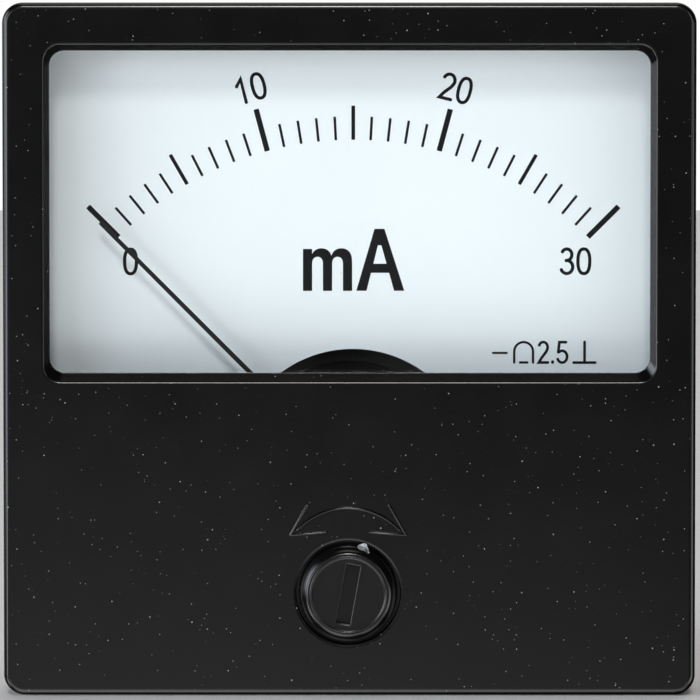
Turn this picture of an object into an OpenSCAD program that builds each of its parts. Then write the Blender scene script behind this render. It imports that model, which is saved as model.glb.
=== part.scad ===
// Square-front moving-coil panel meter, built as it comes apart on a bench.
// Frame: origin at the centre of the flange's rear face (the panel plane),
// +X to the right and +Z up as seen from the front, the front faces -Y and
// the terminals point along +Y.
//
// Every module is drawn in a working frame and then stood up by face():
// x is right, y is up and z is the distance in front of the panel plane.

/* [Front cover] */
// Width and height of the square front
front_w = 60; // [58:0.5:62]
// Distance from the panel plane to the front face
front_h = 10; // [9.6:0.1:10.6]
// Radius of the four upright corners
corner_r = 1.8; // [1.2:0.1:2.4]
// Rounding where the front face meets the sides
edge_r = 0.5; // [0.3:0.05:0.6]
// Wall thickness of the cover's sides
cover_wall = 2.0; // [1.6:0.1:2.2]
// Thickness of the cover's front wall
front_wall = 2.2; // [2.0:0.1:2.6]

/* [Window] */
// Width of the clear light of the window
light_w = 52.0; // [50:0.5:52.5]
// Height of the clear light of the window
light_h = 27.88; // [26:0.02:28]
// Height of the window's centre above the middle of the front
light_z = 11.91; // [11.5:0.01:12.2]
// Corner radius of the clear light
light_r = 1.3; // [0.8:0.1:2.0]
// Width of the chamfer at the sides and top of the window
chamfer_side = 0.5; // [0.3:0.05:0.7]
// Width of the chamfer along the window's sill
chamfer_sill = 0.8; // [0.4:0.05:1.0]
// Depth of the chamfer
chamfer_depth = 0.65; // [0.4:0.05:0.8]
// Thickness of the clear pane
pane_t = 1.5; // [1.0:0.1:1.5]

/* [Rear case] */
// Thickness of the square flange
flange_t = 2.5; // [2.2:0.1:2.5]
// Outer radius of the round body behind the panel
cup_r = 25; // [24.6:0.1:25.4]
// Wall thickness of the round body
cup_wall = 1.8; // [1.4:0.1:1.9]
// Depth of the round body behind the panel plane
cup_depth = 28; // [28:0.5:30]
// Thickness of the rear wall
rear_wall = 2.5; // [2.5:0.1:3.0]

/* [Mounting studs] */
// Distance between stud centres, the same across and up
stud_pitch = 48; // [47:0.5:49]
// Radius of the exposed stud
stud_r = 1.5; // [1.25:0.05:1.6]
// Length of stud behind the panel plane
stud_len = 12; // [10:0.5:16]

/* [Dial] */
// Width of the dial plate
dial_w = 54.2; // [53.8:0.1:54.4]
// Sideways offset of the dial plate from the movement's axis
dial_shift = 0.4; // [0:0.1:0.4]
// Thickness of the dial plate
dial_t = 0.5; // [0.3:0.1:0.5]
// Radius of the arch that lets the pointer through
arch_r = 10.6; // [10.5:0.1:11]

/* [Movement] */
// Height of the pointer's axis, below the middle of the front
pivot_drop = 10.8; // [10.6:0.1:11]
// Radius of the magnet core
core_r = 4.2; // [4.0:0.05:4.25]
// Inner radius of the iron ring round the coil
yoke_in_r = 6.2; // [6.1:0.05:6.4]
// Outer radius of the iron ring
yoke_out_r = 9.2; // [9.0:0.1:9.4]
// Turns in each hairspring
spring_turns = 4; // [3:1:5]
// Height of the hairspring strip
spring_w = 0.3; // [0.2:0.05:0.3]

/* [Pointer] */
// Distance from the axis to the pointer's tip
pointer_r = 30.7; // [28:0.1:31]
// Width of the pointer at its tip
pointer_tip_w = 0.36; // [0.3:0.02:0.5]
// Width of the pointer at its root
pointer_root_w = 0.42; // [0.36:0.02:0.5]
// Angle of the resting pointer, left of straight up
rest_angle = 44.9; // [44.5:0.1:45.5]
// Distance of the pointer blade in front of the panel plane
blade_z = 5.5; // [5.0:0.1:6.0]

/* [Zero adjuster] */
// Distance of the adjuster below the middle of the front
adjuster_drop = 21.1; // [21:0.1:21.3]
// Radius of the hole in the front
adjuster_hole_r = 4.57; // [4.5:0.01:4.8]
// Radius of the flat top of the adjuster's head
adjuster_top_r = 3.25; // [3.0:0.05:3.4]
// Height of the head in front of the face
adjuster_rise = 1.75; // [1.0:0.05:2.0]
// Width of the screwdriver slot
slot_w = 1.2; // [1.0:0.1:1.4]
// Length of the screwdriver slot
slot_len = 5.24; // [4.8:0.02:5.4]
// Angle of the slot, clockwise from upright
slot_tilt = 10.2; // [0:0.1:20]
// Distance of the crank pin from the adjuster's axis
crank = 1.5; // [1.4:0.05:1.6]

/* [Terminals] */
// Distance of each terminal from the centre plane
terminal_x = 13; // [12.5:0.5:13.5]
// Height of the terminals above the middle of the body
terminal_z = 10; // [9.5:0.5:10.5]
// Radius of the threaded stud's free end
terminal_r = 1.97; // [1.96:0.01:1.98]
// Distance from the panel plane to the tip of a terminal
terminal_reach = 41.5; // [41.5:0.5:44]

/* [Hidden] */
$fn = 64;

axis_x = -0.1;                    // the movement and adjuster share this line
px = axis_x;
pz = -pivot_drop;
az = -adjuster_drop;
cup_in = cup_r - cup_wall;
floor_z = -cup_depth + rear_wall; // inner face of the rear wall
light_x = 0.05;
pane_z1 = front_h - 1.0;          // front face of the pane
pane_z0 = pane_z1 - pane_t;
pocket_w = front_w - 2 * cover_wall;
boss_x = 25.2;                    // cover screws
boss_y = -15;
dial_z0 = 2.9;                    // rear face of the dial plate
dial_x = px + dial_shift;
dial_y0 = -8;
dial_y1 = 27.5;
post_x = 16;                      // dial posts
post_y = -5.6;
frame_x = 15.5;                   // movement screws
frame_y = -11;
frame_z0 = -7;
frame_z1 = -5;
yoke_z0 = -12;
yoke_z1 = -4;
pillar_x = 7.7;
under_nut_r = 1.78;               // terminal thread's pitch radius, where nuts sit
bb = [0.06, 0.06, 0.065];         // black moulding
brass = [0.78, 0.62, 0.32];
steel = [0.70, 0.71, 0.72];
iron = [0.30, 0.30, 0.31];
// Lead routes, in the working frame
lead_a = [[-8, 9.2, -24.9], [-8, 9.2, -24], [-8.8, 7.6, -22.6],
    [-12, 4.5, -20], [-14, 1.5, -15], [-14.2, 0, -10], [-13.6, -0.8, -5],
    [-12.4, -3, -2.2], [-11.2, -6.2, -0.6], [-10.2, -9.2, 0.5],
    [-10, -10.8, 1.0]];
lead_b = [[8, 9.2, -24.9], [8, 9.2, -24], [8.6, 7.2, -22.8],
    [10.4, 3.4, -22], [11.2, -1.2, -21], [10.8, -5.6, -19],
    [10, -8.8, -17.3], [9.8, -10.8, -16.6]];

// ---- helpers -------------------------------------------------------------

module face() rotate([90, 0, 0]) children();

module slab(w, h, r)
    union() {
        square([w - 2 * r, h], center = true);
        square([w, h - 2 * r], center = true);
        for (sx = [-1, 1], sy = [-1, 1])
            translate([sx * (w / 2 - r), sy * (h / 2 - r)]) circle(r = r);
    }

module plate(w, h, r, z0, z1)
    translate([0, 0, z0]) linear_extrude(z1 - z0) slab(w, h, r);

module rod(r, z0, z1) translate([0, 0, z0]) cylinder(r = r, h = z1 - z0);

module tube(r_out, r_in, z0, z1)
    difference() {
        rod(r_out, z0, z1);
        rod(r_in, z0 - 0.5, z1 + 0.5);
    }

module hexagon(across, z0, z1)
    translate([0, 0, z0])
        cylinder(r = across / sqrt(3), h = z1 - z0, $fn = 6);

// A straight bar with round ends between two points, lying on z0
module bar(a, b, w, z0, z1) {
    d = b - a;
    translate([a[0], a[1], z0]) rotate([0, 0, atan2(d[1], d[0])])
        linear_extrude(z1 - z0) union() {
            translate([0, -w / 2]) square([norm(d), w]);
            circle(d = w);
            translate([norm(d), 0]) circle(d = w);
        }
}

function spiral_pt(t, r0, r1, a0, off) =
    let (r = r0 + (r1 - r0) * t + off, a = a0 + 360 * spring_turns * t)
    [r * cos(a), r * sin(a)];

// Flat spiral strip; its outer end lands straight up from the axis
module hairspring(r0, r1, z0) {
    n = 20 * spring_turns;
    th = 0.05;
    translate([0, 0, z0]) linear_extrude(spring_w)
        polygon(concat(
            [for (i = [0:n]) spiral_pt(i / n, r0, r1, 90, th)],
            [for (i = [n:-1:0]) spiral_pt(i / n, r0, r1, 90, -th)]));
}

// Points eased along a route
function ease(p, i, t) =
    let (a = p[max(i - 1, 0)], b = p[i], c = p[i + 1],
         d = p[min(i + 2, len(p) - 1)])
    0.5 * (2 * b + (c - a) * t + (2 * a - 5 * b + 4 * c - d) * t * t
        + (3 * b - a - 3 * c + d) * t * t * t);
function route(p, k) = concat(
    [for (i = [0:len(p) - 2], j = [0:k - 1]) ease(p, i, j / k)],
    [p[len(p) - 1]]);
function unit(v) = v / norm(v);

module wire(p, r, ref) {
    n = len(p);
    m = 8;
    pts = [for (i = [0:n - 1])
        let (t = unit(p[min(i + 1, n - 1)] - p[max(i - 1, 0)]),
             u = unit(cross(t, ref)), v = cross(t, u))
        for (j = [0:m - 1])
            p[i] + r * (cos(360 * j / m) * u + sin(360 * j / m) * v)];
    sides = [for (i = [0:n - 2], j = [0:m - 1])
        [i * m + j, i * m + (j + 1) % m,
         (i + 1) * m + (j + 1) % m, (i + 1) * m + j]];
    polyhedron(points = pts, faces = concat(sides,
        [[for (j = [m - 1:-1:0]) j]],
        [[for (j = [0:m - 1]) (n - 1) * m + j]]));
}

// Small slotted or crossed screw, head top at z1, pointing along -z
module screw(head_r, head_h, r, length, z_seat, cross_head = false)
    difference() {
        union() {
            rod(head_r, z_seat, z_seat + head_h);
            rod(r, z_seat - length, z_seat);
        }
        translate([0, 0, z_seat + head_h])
            cube([head_r * 1.3, 0.4, head_h], center = true);
        if (cross_head)
            translate([0, 0, z_seat + head_h])
                cube([0.4, head_r * 1.3, head_h], center = true);
    }

// ---- housing -------------------------------------------------------------

module cover_corner()
    rotate_extrude($fn = 32) union() {
        translate([0, flange_t])
            square([corner_r - edge_r, front_h - flange_t]);
        translate([0, flange_t])
            square([corner_r, front_h - edge_r - flange_t]);
        translate([corner_r - edge_r, front_h - edge_r])
            intersection() {
                circle(r = edge_r, $fn = 32);
                square(edge_r);
            }
    }

module arrow_mark() {
    z0 = front_h - 0.1;
    z1 = front_h + 0.2;
    for (s = [-1, 1]) {
        bar([px + s * 5.0, -16.07], [px + s * 3.55, -13.49], 0.3, z0, z1);
        bar([px + s * 5.0, -16.07], [px + s * 1.92, -15.85], 0.3, z0, z1);
    }
    translate([px, -19.81, z0]) rotate([0, 0, 43])
        rotate_extrude(angle = 94)
            translate([5.92, 0]) square([0.3, z1 - z0]);
}

module front_cover()
    color(bb) face() difference() {
        union() {
            difference() {
                hull() for (sx = [-1, 1], sy = [-1, 1])
                    translate([sx * (front_w / 2 - corner_r),
                               sy * (front_w / 2 - corner_r), 0])
                        cover_corner();
                plate(pocket_w, pocket_w, 1, flange_t - 1,
                      front_h - front_wall);
            }
            translate([px, az, 0])
                rod(6, front_h - 4.6, front_h - front_wall + 0.3);
            for (s = [-1, 1])
                translate([s * boss_x, boss_y, 0])
                    rod(3, flange_t, front_h - front_wall + 0.3);
            arrow_mark();
        }
        // window: light, chamfer and the seat for the pane
        translate([light_x, light_z, 0]) {
            plate(light_w, light_h, light_r, pane_z1 - 0.5, front_h + 1);
            hull() {
                translate([0, 0, front_h - chamfer_depth])
                    linear_extrude(0.001) slab(light_w, light_h, light_r, $fn = 32);
                translate([0, (chamfer_side - chamfer_sill) / 2, front_h])
                    linear_extrude(0.01)
                        slab(light_w + 2 * chamfer_side,
                             light_h + chamfer_side + chamfer_sill,
                             light_r + 0.2, $fn = 32);
            }
            plate(light_w + 1.8, light_h + 1.72, light_r + 0.4,
                  flange_t, pane_z1);
        }
        // adjuster: wide mouth and the journal's bore
        translate([px, az, 0]) {
            rod(adjuster_hole_r, front_h - 1.4, front_h + 1);
            rod(2.55, front_h - 6, front_h);
        }
        for (s = [-1, 1])
            translate([s * boss_x, boss_y, 0]) rod(1.2, 0, 7);
    }

module window_pane()
    color([0.85, 0.9, 0.92, 0.25]) face()
        translate([light_x, light_z, 0])
            plate(light_w + 1.6, light_h + 1.52, light_r + 0.3,
                  pane_z0, pane_z1);

module rear_case()
    color(bb) face() difference() {
        union() {
            difference() {
                union() {
                    plate(front_w, front_w, corner_r, 0, flange_t);
                    rotate_extrude() polygon([[0, -cup_depth],
                        [cup_r - 0.8, -cup_depth], [cup_r, -cup_depth + 0.8],
                        [cup_r, 1], [0, 1]]);
                    // locating lip round the lower half
                    translate([0, 0, flange_t - 0.5]) linear_extrude(2)
                        difference() {
                            slab(pocket_w - 0.2, pocket_w - 0.2, 0.9);
                            slab(pocket_w - 2.6, pocket_w - 2.6, 0.6);
                            translate([-40, -9]) square([80, 50]);
                            for (s = [-1, 1])
                                translate([s * boss_x, boss_y])
                                    circle(r = 3.3);
                        }
                }
                rod(cup_in, floor_z, 10);
            }
            // pillars for the movement
            for (s = [-1, 1])
                translate([s * frame_x, frame_y, 0])
                    rod(3, floor_z - 0.5, frame_z0);
            // polarity marks
            translate([-terminal_x, terminal_z + 7, -cup_depth - 0.3]) {
                translate([-1.5, -0.3, 0]) cube([3, 0.6, 0.6]);
                translate([-0.3, -1.5, 0]) cube([0.6, 3, 0.6]);
            }
            translate([terminal_x - 1.5, terminal_z + 6.7, -cup_depth - 0.3])
                cube([3, 0.6, 0.6]);
        }
        for (sx = [-1, 1], sy = [-1, 1])
            translate([sx * stud_pitch / 2, sy * stud_pitch / 2, 0])
                rod(2.2, -1, flange_t + 1);
        for (s = [-1, 1]) {
            translate([s * boss_x, boss_y, 0]) {
                rod(1.5, -1, flange_t + 1);
                rod(2.3, -1, 1.3);
            }
            translate([s * frame_x, frame_y, 0]) rod(1.2, -15.5, 0);
            translate([s * terminal_x, terminal_z, 0])
                rod(2, -cup_depth - 1, floor_z + 1);
        }
    }

module cover_screws()
    color(steel) face() for (s = [-1, 1])
        translate([s * boss_x, boss_y, 0]) mirror([0, 0, 1])
            screw(2.1, 1.2, 1.2, 5.2, -1.3, true);

module mounting_studs()
    color(brass) face() for (sx = [-1, 1], sy = [-1, 1])
        translate([sx * stud_pitch / 2, sy * stud_pitch / 2, 0])
            rotate_extrude() polygon([[0, flange_t], [2.2, flange_t],
                [2.2, 0], [stud_r, 0], [stud_r, -stud_len + 0.4],
                [stud_r - 0.4, -stud_len], [0, -stud_len]]);

// ---- zero adjuster -------------------------------------------------------

module zero_adjuster() {
    top = front_h + adjuster_rise;
    r1 = 4.25;
    z1 = front_h - 0.35;
    color([0.12, 0.12, 0.12]) face() translate([px, az, 0]) {
        difference() {
            rotate_extrude() polygon(concat(
                [[0, 4.6], [2.5, 4.6], [2.5, 4.95], [2.1, 4.95],
                 [2.1, 5.35], [2.5, 5.35], [2.5, front_h - 1.35],
                 [r1, front_h - 1.35]],
                // shoulder: a swelling curve from the skirt to the flat
                [for (i = [0:8]) let (a = 90 * i / 8)
                    [adjuster_top_r + (r1 - adjuster_top_r) * pow(cos(a), 0.8),
                     z1 + (top - z1) * pow(sin(a), 0.9)]],
                [[0, top]]));
            rotate([0, 0, -slot_tilt])
                translate([-slot_w / 2, -slot_len / 2, top - 1.1])
                    cube([slot_w, slot_len, 2]);
        }
        translate([0, crank, 0]) rod(0.6, 1.5, 4.7);
    }
}

module adjuster_retaining_ring()
    color(steel) face() translate([px, az, 0]) difference() {
        tube(3.6, 2.15, 5.0, 5.3);
        translate([-1, -5, 4]) cube([2, 5, 3]);
    }

module zero_lever()
    color(brass) face() translate([px, pz, 0]) {
        difference() {
            union() {
                rod(2.6, 1.7, 2.2);
                translate([-0.8, -8, 1.7]) cube([1.6, 7, 0.5]);
                translate([-1.7, -10.4, 1.7]) cube([3.4, 3.2, 0.5]);
                translate([-0.45, 2, 1.7]) cube([0.9, 1.9, 0.5]);
            }
            rod(1.15, 1, 3);
            translate([-0.7, -10.6, 1]) cube([1.4, 2.8, 2]);
        }
        translate([-0.45, 3.5, -0.8]) cube([0.9, 0.4, 2.6]);
    }

// ---- dial ----------------------------------------------------------------

module dial_plate()
    color([0.93, 0.95, 0.96]) face() translate([0, 0, dial_z0])
        linear_extrude(dial_t) difference() {
            translate([dial_x, (dial_y0 + dial_y1) / 2])
                slab(dial_w, dial_y1 - dial_y0, 1);
            translate([dial_x, pz]) circle(r = arch_r);
            for (s = [-1, 1]) translate([s * post_x, post_y]) circle(r = 1.2);
        }

module dial_screws()
    color(steel) face() for (s = [-1, 1])
        translate([s * post_x, post_y, 0])
            screw(1.9, 0.9, 1, 3.8, dial_z0 + dial_t);

module dial_posts()
    color(brass) face() for (s = [-1, 1])
        translate([s * post_x, post_y, 0]) difference() {
            union() {
                hexagon(3.6, frame_z1, dial_z0);
                rod(1.2, frame_z0, frame_z1);
            }
            rod(1, -1.2, dial_z0 + 1);
        }

// ---- movement, fixed pieces ----------------------------------------------

module movement_frame()
    color([0.62, 0.63, 0.62]) face() translate([0, 0, frame_z0])
        linear_extrude(frame_z1 - frame_z0) difference() {
            union() {
                translate([px, pz]) circle(r = yoke_out_r + 2.3);
                translate([0, -8.35]) slab(38, 10.3, 3);
            }
            translate([px, pz]) circle(r = yoke_out_r);
            for (s = [-1, 1]) {
                translate([s * frame_x, frame_y]) circle(r = 1.4);
                translate([s * post_x, post_y]) circle(r = 1.2);
            }
        }

module movement_screws()
    color(steel) face() for (s = [-1, 1])
        translate([s * frame_x, frame_y, 0])
            screw(2.2, 1.6, 1.2, 10, frame_z1);

module yoke_ring()
    color(iron) face() translate([px, pz, 0])
        tube(yoke_out_r, yoke_in_r, yoke_z0, yoke_z1);

module core_magnet()
    color([0.42, 0.42, 0.43]) face() translate([px, pz, 0])
        rod(core_r, yoke_z0, yoke_z1);

module core_spacers()
    color([0.75, 0.72, 0.62]) face() translate([px, pz, 0])
        for (a = [0, 180]) rotate([0, 0, a]) intersection() {
            tube(yoke_in_r, core_r, -11.5, -4.5);
            translate([-1.4, 0, -12]) cube([2.8, 8, 9]);
        }

module pillar(z0, z1) difference() {
    rod(1.1, z0, z1);
    children();
}

module bridge_pillars()
    color(brass) face() for (s = [-1, 1])
        translate([px + s * pillar_x, pz, 0]) {
            pillar(yoke_z1, 0.4) rod(0.6, -1.6, 1);
            pillar(-16, yoke_z0) rod(0.6, -17, -14);
        }

module bridge_strip(z0, z1)
    translate([px, pz, z0]) linear_extrude(z1 - z0) difference() {
        slab(18.8, 4.4, 2);
        circle(r = 1.1);
        for (s = [-1, 1]) translate([s * pillar_x, 0]) circle(r = 0.6);
    }

module front_bridge() color(brass) face() bridge_strip(0.4, 1.6);

module front_bridge_screws()
    color(steel) face() for (s = [-1, 1])
        translate([px + s * pillar_x, pz, 0]) screw(1.2, 0.7, 0.6, 3, 1.6);

module rear_bridge()
    color(brass) face() {
        bridge_strip(-17.2, -16);
        translate([px - 0.45, pz + 2, -17.2]) cube([0.9, 1.9, 1.2]);
        translate([px - 0.45, pz + 3.5, -16.5]) cube([0.9, 0.4, 2.1]);
    }

module rear_bridge_screws()
    color(steel) face() for (s = [-1, 1])
        translate([px + s * pillar_x, pz, 0]) mirror([0, 0, 1])
            screw(1.2, 0.7, 0.6, 3, 17.2);

// Jewel screw: blind cup at z_cup, slotted at the far end
module jewel_screw(z_cup, z_end) {
    d = z_end > z_cup ? 1 : -1;
    translate([px, pz, z_cup]) rotate([d > 0 ? 0 : 180, 0, 0]) difference() {
        rod(1.1, 0, abs(z_end - z_cup));
        rod(0.3, -1, 0.45);
        translate([0, 0, abs(z_end - z_cup)])
            cube([3, 0.4, 0.9], center = true);
    }
}

module front_jewel_screw() color(brass) face() jewel_screw(-0.3, 3.2);

module rear_jewel_screw() color(brass) face() jewel_screw(-15.4, -18.6);

module lock_nut(z0, z1)
    translate([px, pz, 0]) difference() {
        hexagon(3.8, z0, z1);
        rod(1.1, z0 - 1, z1 + 1);
    }

module front_lock_nut() color(steel) face() lock_nut(2.3, 2.9);

module rear_lock_nut() color(steel) face() lock_nut(-17.9, -17.2);

module pointer_stops()
    color(steel) face() translate([px, pz, 0])
        for (a = [-52.5, 52.5]) rotate([0, 0, a])
            translate([0, 8, 0]) rod(0.4, yoke_z1, -0.9);

// ---- movement, turning pieces --------------------------------------------

// Turning pieces are drawn with the pointer straight up, then laid over
module turned() translate([px, pz, 0]) rotate([0, 0, rest_angle]) children();

// Rectangular loop round the core, seen edge on from the front
module loop(u_out, u_in, z0, z1, wall)
    difference() {
        translate([-u_out, -1.4, z0]) cube([2 * u_out, 2.8, z1 - z0]);
        translate([-u_in, -2, z0 + wall])
            cube([2 * u_in, 4, z1 - z0 - 2 * wall]);
    }

module coil_former()
    color([0.78, 0.79, 0.8]) face() turned()
        loop(4.85, 4.6, -12.75, -3.25, 0.25);

module coil_winding()
    color([0.66, 0.36, 0.2]) face() turned()
        loop(5.6, 4.85, -13.4, -2.6, 0.65);

module front_pivot()
    color(steel) face() translate([px, pz, 0])
        rotate_extrude() polygon([[0, -2.6], [1, -2.6], [1, -2.3],
            [0.4, -2.3], [0.4, -0.45], [0.25, -0.45], [0.25, 0],
            [0.06, 0.12], [0, 0.12]]);

module rear_pivot()
    color(steel) face() translate([px, pz, 0])
        rotate_extrude() polygon([[0, -13.4], [1, -13.4], [1, -13.7],
            [0.4, -13.7], [0.4, -14.2], [0.8, -14.2], [0.8, -15],
            [0.4, -15], [0.4, -15.25], [0.25, -15.25], [0.25, -15.7],
            [0.06, -15.82], [0, -15.82]]);

module pointer_hub()
    color([0.72, 0.73, 0.74]) face() turned() difference() {
        union() {
            rod(1.4, -2.2, -1.2);
            rod(0.8, -1.3, -0.4);
            translate([-0.35, -5.2, -1.9]) cube([0.7, 5, 0.4]);
            translate([-5.2, -0.35, -1.9]) cube([10.4, 0.7, 0.4]);
        }
        rod(0.4, -3, 1);
    }

module collar(r, at, length)
    difference() {
        translate([0, -at, -1.7]) rotate([90, 0, 0])
            cylinder(r = r, h = length, center = true);
        translate([-0.35, -6, -1.9]) cube([0.7, 6, 0.4]);
    }

module balance_weights()
    color(brass) face() turned() {
        collar(1.02, 4.35, 1.5);
        rotate([0, 0, 90]) collar(0.5, 4.2, 0.9);
        rotate([0, 0, -90]) collar(0.5, 4.2, 0.9);
    }

module pointer()
    color([0.05, 0.05, 0.06]) face() turned() union() {
        translate([-0.2, 1.4, -1.85]) cube([0.4, 8.4, 0.3]);
        translate([-0.2, 9.4, -1.85]) cube([0.4, 0.4, blade_z + 2]);
        translate([0, 0, blade_z - 0.15]) linear_extrude(0.3)
            polygon([[-pointer_root_w / 2, 9.4], [pointer_root_w / 2, 9.4],
                [pointer_tip_w / 2, pointer_r],
                [-pointer_tip_w / 2, pointer_r]]);
    }

module front_hairspring()
    color([0.72, 0.60, 0.38]) face() translate([px, pz, 0])
        hairspring(0.92, 3.35, -0.75);

module rear_hairspring()
    color([0.72, 0.60, 0.38]) face() translate([px, pz, 0])
        hairspring(0.92, 3.35, -14.75);

// ---- terminals and wiring ------------------------------------------------

module at_terminals()
    for (s = [-1, 1]) translate([s * terminal_x, terminal_z, 0]) children();

module terminal_studs()
    color(brass) face() at_terminals() union() {
        hexagon(7, floor_z + 0.5, floor_z + 3.3);
        rotate_extrude() polygon([[0, floor_z + 1], [under_nut_r, floor_z + 1],
            [under_nut_r, -36.4], [terminal_r, -36.4],
            [terminal_r, -terminal_reach + 0.4],
            [terminal_r - 0.4, -terminal_reach], [0, -terminal_reach]]);
    }

module solder_lugs()
    color([0.8, 0.8, 0.78]) face() for (s = [-1, 1])
        translate([s * terminal_x, terminal_z, floor_z])
            linear_extrude(0.5) difference() {
                union() {
                    circle(r = 3.8);
                    translate([s < 0 ? 2 : -6, -1.2]) square([4, 2.4]);
                }
                circle(r = under_nut_r);
            }

module terminal_washers()
    color(steel) face() at_terminals() {
        tube(4.4, 2.1, -cup_depth - 0.8, -cup_depth);
        tube(4.4, 2.1, -cup_depth - 4.0, -cup_depth - 3.2);
    }

module hex_nut(z0, z1) difference() {
    hexagon(7, z0, z1);
    rod(under_nut_r + 0.02, z0 - 1, z1 + 1);
}

module terminal_case_nuts()
    color(brass) face() at_terminals()
        hex_nut(-cup_depth - 3.2, -cup_depth - 0.8);

module terminal_spring_washers()
    color(steel) face() at_terminals() difference() {
        tube(3.6, 2.1, -cup_depth - 5, -cup_depth - 4);
        rotate([0, 0, 35]) translate([2.8, 0, -cup_depth - 4.5])
            rotate([25, 0, 0]) cube([3, 0.5, 4], center = true);
    }

module terminal_wire_nuts()
    color(brass) face() at_terminals()
        hex_nut(-cup_depth - 8.2, -cup_depth - 5);

module shunt_resistor()
    color([0.72, 0.66, 0.5]) face() translate([0, terminal_z, -21.5]) union() {
        rotate([0, 90, 0]) cylinder(r = 1.8, h = 9, center = true);
        rotate([0, 90, 0]) cylinder(r = 0.35, h = 16.4, center = true);
        for (s = [-1, 1]) translate([s * 8.2, 0, 0]) {
            sphere(r = 0.35);
            rod(0.35, floor_z + 0.5 + 21.5, 0);
        }
    }

module positive_lead()
    color([0.65, 0.08, 0.07]) face() wire(route(lead_a, 3), 0.45, [1, 0.2, 0.1]);

module negative_lead()
    color([0.06, 0.06, 0.07]) face() wire(route(lead_b, 3), 0.45, [1, 0.2, 0.1]);

front_cover();
window_pane();
rear_case();
cover_screws();
mounting_studs();
zero_adjuster();
adjuster_retaining_ring();
dial_plate();
dial_screws();
dial_posts();
movement_frame();
movement_screws();
yoke_ring();
core_magnet();
core_spacers();
coil_former();
coil_winding();
front_pivot();
rear_pivot();
pointer_hub();
balance_weights();
pointer();
front_hairspring();
rear_hairspring();
bridge_pillars();
front_bridge();
front_bridge_screws();
rear_bridge();
rear_bridge_screws();
front_jewel_screw();
rear_jewel_screw();
front_lock_nut();
rear_lock_nut();
zero_lever();
pointer_stops();
terminal_studs();
solder_lugs();
terminal_washers();
terminal_case_nuts();
terminal_spring_washers();
terminal_wire_nuts();
shunt_resistor();
positive_lead();
negative_lead();
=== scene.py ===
import math
import random

import bmesh
import bpy
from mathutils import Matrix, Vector
from mathutils.geometry import delaunay_2d_cdt, tessellate_polygon


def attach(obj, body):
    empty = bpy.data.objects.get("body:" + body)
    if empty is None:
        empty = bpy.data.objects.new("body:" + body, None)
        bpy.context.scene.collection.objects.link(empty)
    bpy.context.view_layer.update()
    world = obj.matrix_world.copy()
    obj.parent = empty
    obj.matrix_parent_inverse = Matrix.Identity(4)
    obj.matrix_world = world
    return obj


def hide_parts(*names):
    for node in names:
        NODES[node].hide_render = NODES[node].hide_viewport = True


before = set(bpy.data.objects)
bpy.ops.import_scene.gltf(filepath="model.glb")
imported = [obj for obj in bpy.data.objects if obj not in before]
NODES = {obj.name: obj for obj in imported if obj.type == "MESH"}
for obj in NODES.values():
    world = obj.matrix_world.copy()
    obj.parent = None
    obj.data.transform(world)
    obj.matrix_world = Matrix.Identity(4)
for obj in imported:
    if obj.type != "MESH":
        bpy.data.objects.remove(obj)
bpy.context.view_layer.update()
MM = 0.001

# Working frame, as in the CAD source: x right, y up, f forwards of the
# panel plane, all in millimetres.
PX, PZ = -0.1, -10.8          # pointer axis
AX, AZ = -0.1, -21.1          # zero adjuster axis
FACE = 10.0                   # front face
DIAL_X, DIAL_Z = 0.344, -10.968   # centre of the dial's scale
DIAL_F = 3.4                  # front of the dial plate


def W(x, y, f):
    return (x * MM, -f * MM, y * MM)


# ---------------------------------------------------------------- materials

def node(nt, kind, **values):
    n = nt.nodes.new(kind)
    for k, v in values.items():
        setattr(n, k, v)
    return n


def ramp(nt, src, stops, mode="LINEAR"):
    r = node(nt, "ShaderNodeValToRGB")
    r.color_ramp.interpolation = mode
    els = r.color_ramp.elements
    while len(els) < len(stops):
        els.new(0.5)
    for e, (p, c) in zip(els, stops):
        e.position = p
        e.color = c if len(c) == 4 else (*c, 1.0)
    nt.links.new(src, r.inputs[0])
    return r.outputs[0]


def maprange(nt, src, a, b, c, d, smooth=False):
    m = node(nt, "ShaderNodeMapRange")
    m.interpolation_type = "SMOOTHSTEP" if smooth else "LINEAR"
    for i, v in zip((1, 2, 3, 4), (a, b, c, d)):
        m.inputs[i].default_value = v
    nt.links.new(src, m.inputs[0])
    return m.outputs[0]


def math_node(nt, op, a, b=None, clamp=False):
    m = node(nt, "ShaderNodeMath", operation=op, use_clamp=clamp)
    for i, v in enumerate((a, b)):
        if v is None:
            continue
        if isinstance(v, (int, float)):
            m.inputs[i].default_value = v
        else:
            nt.links.new(v, m.inputs[i])
    return m.outputs[0]


def mix_color(nt, fac, a, b, blend="MIX"):
    m = node(nt, "ShaderNodeMix", data_type="RGBA", blend_type=blend)
    for i, v in ((0, fac), (6, a), (7, b)):
        if isinstance(v, (int, float)):
            m.inputs[i].default_value = v
        elif isinstance(v, tuple):
            m.inputs[i].default_value = v if len(v) == 4 else (*v, 1.0)
        else:
            nt.links.new(v, m.inputs[i])
    return m.outputs[2]


def coords(nt, scale=1.0, stretch=(1, 1, 1)):
    tc = node(nt, "ShaderNodeTexCoord")
    mp = node(nt, "ShaderNodeMapping")
    mp.inputs["Scale"].default_value = [scale * s for s in stretch]
    nt.links.new(tc.outputs["Object"], mp.inputs["Vector"])
    return mp.outputs[0]


def noise(nt, vec, scale, detail=3.0, rough=0.55):
    n = node(nt, "ShaderNodeTexNoise")
    n.inputs["Scale"].default_value = scale
    n.inputs["Detail"].default_value = detail
    n.inputs["Roughness"].default_value = rough
    nt.links.new(vec, n.inputs["Vector"])
    return n.outputs[0]


def base_mat(name):
    m = bpy.data.materials.new(name)
    m.use_nodes = True
    nt = m.node_tree
    bsdf = nt.nodes["Principled BSDF"]
    return m, nt, bsdf


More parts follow.
